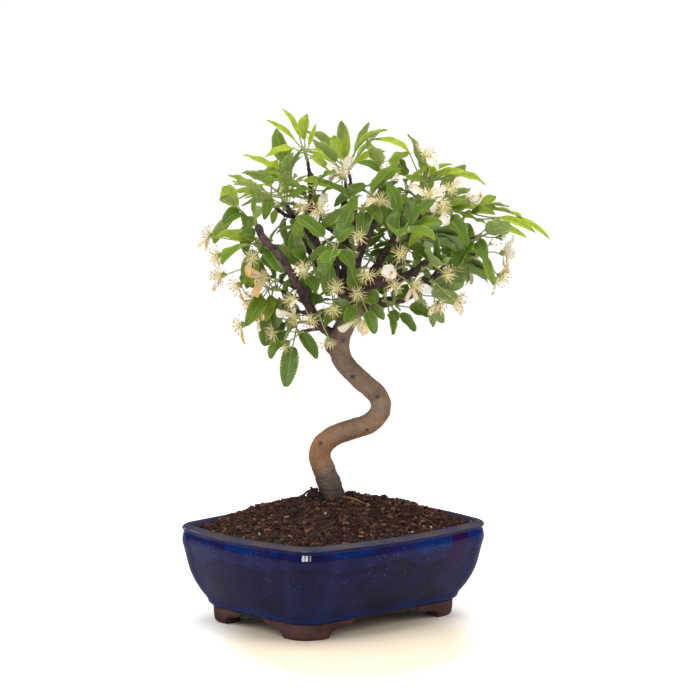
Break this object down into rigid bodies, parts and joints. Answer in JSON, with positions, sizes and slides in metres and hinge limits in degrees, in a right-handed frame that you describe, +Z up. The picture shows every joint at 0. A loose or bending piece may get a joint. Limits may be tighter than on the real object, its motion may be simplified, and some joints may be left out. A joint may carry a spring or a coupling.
{
  "type": "crabapple bonsai",
  "caption": "Flowering tree with an S-bent trunk and a broad leafy crown in fading bloom, rooted in a bulged rectangular glazed pot on bracket feet; a display plant for a flat surface.",
  "frame": {"origin": "on the surface the pot stands on, under the middle of the whole bounding box", "axes": "+Z up, +X along the pot's long side, +Y across the pot; the pictured side is seen from -X -Y"},
  "size_m": [0.2288, 0.2192, 0.3802],
  "materials": {
    "cobalt_glaze": "gloss",
    "bark_and_peat": "matte",
    "bark": "matte",
    "leaf": "satin",
    "bloom": "matte",
    "screen_plastic": "matte"
  },
  "bodies": {
    "root": {"pot": "cobalt_glaze", "soil": "bark_and_peat", "trunk": "bark", "drain_screen_left": "screen_plastic", "drain_screen_right": "screen_plastic", "leafy_shoot_01": "leaf", "leafy_shoot_02": "leaf", "leafy_shoot_03": "leaf", "leafy_shoot_04": "leaf", "leafy_shoot_05": "leaf", "leafy_shoot_06": "leaf", "leafy_shoot_07": "leaf", "leafy_shoot_08": "leaf", "leafy_shoot_09": "leaf", "leafy_shoot_10": "leaf", "leafy_shoot_11": "leaf", "leafy_shoot_12": "leaf", "leafy_shoot_13": "leaf", "leafy_shoot_14": "leaf", "leafy_shoot_15": "leaf", "leafy_shoot_16": "leaf", "leafy_shoot_17": "leaf", "leafy_shoot_18": "leaf", "leafy_shoot_19": "leaf", "leafy_shoot_20": "leaf", "leafy_shoot_21": "leaf", "leafy_shoot_22": "leaf", "leafy_shoot_23": "leaf", "leafy_shoot_24": "leaf", "leafy_shoot_25": "leaf", "leafy_shoot_26": "leaf", "leafy_shoot_27": "leaf", "leafy_shoot_28": "leaf", "leafy_shoot_29": "leaf", "leafy_shoot_30": "leaf", "flower_cluster_01": "bloom", "flower_cluster_02": "bloom", "flower_cluster_03": "bloom", "flower_cluster_04": "bloom", "flower_cluster_05": "bloom", "flower_cluster_06": "bloom", "flower_cluster_07": "bloom", "flower_cluster_08": "bloom", "flower_cluster_09": "bloom", "flower_cluster_10": "bloom", "flower_cluster_11": "bloom", "flower_cluster_12": "bloom", "flower_cluster_13": "bloom", "flower_cluster_14": "bloom", "flower_cluster_15": "bloom", "flower_cluster_16": "bloom", "flower_cluster_17": "bloom", "flower_cluster_18": "bloom", "flower_cluster_19": "bloom", "flower_cluster_20": "bloom", "flower_cluster_21": "bloom", "flower_cluster_22": "bloom", "flower_cluster_23": "bloom", "flower_cluster_24": "bloom", "flower_cluster_25": "bloom"}
  },
  "joints": []
}
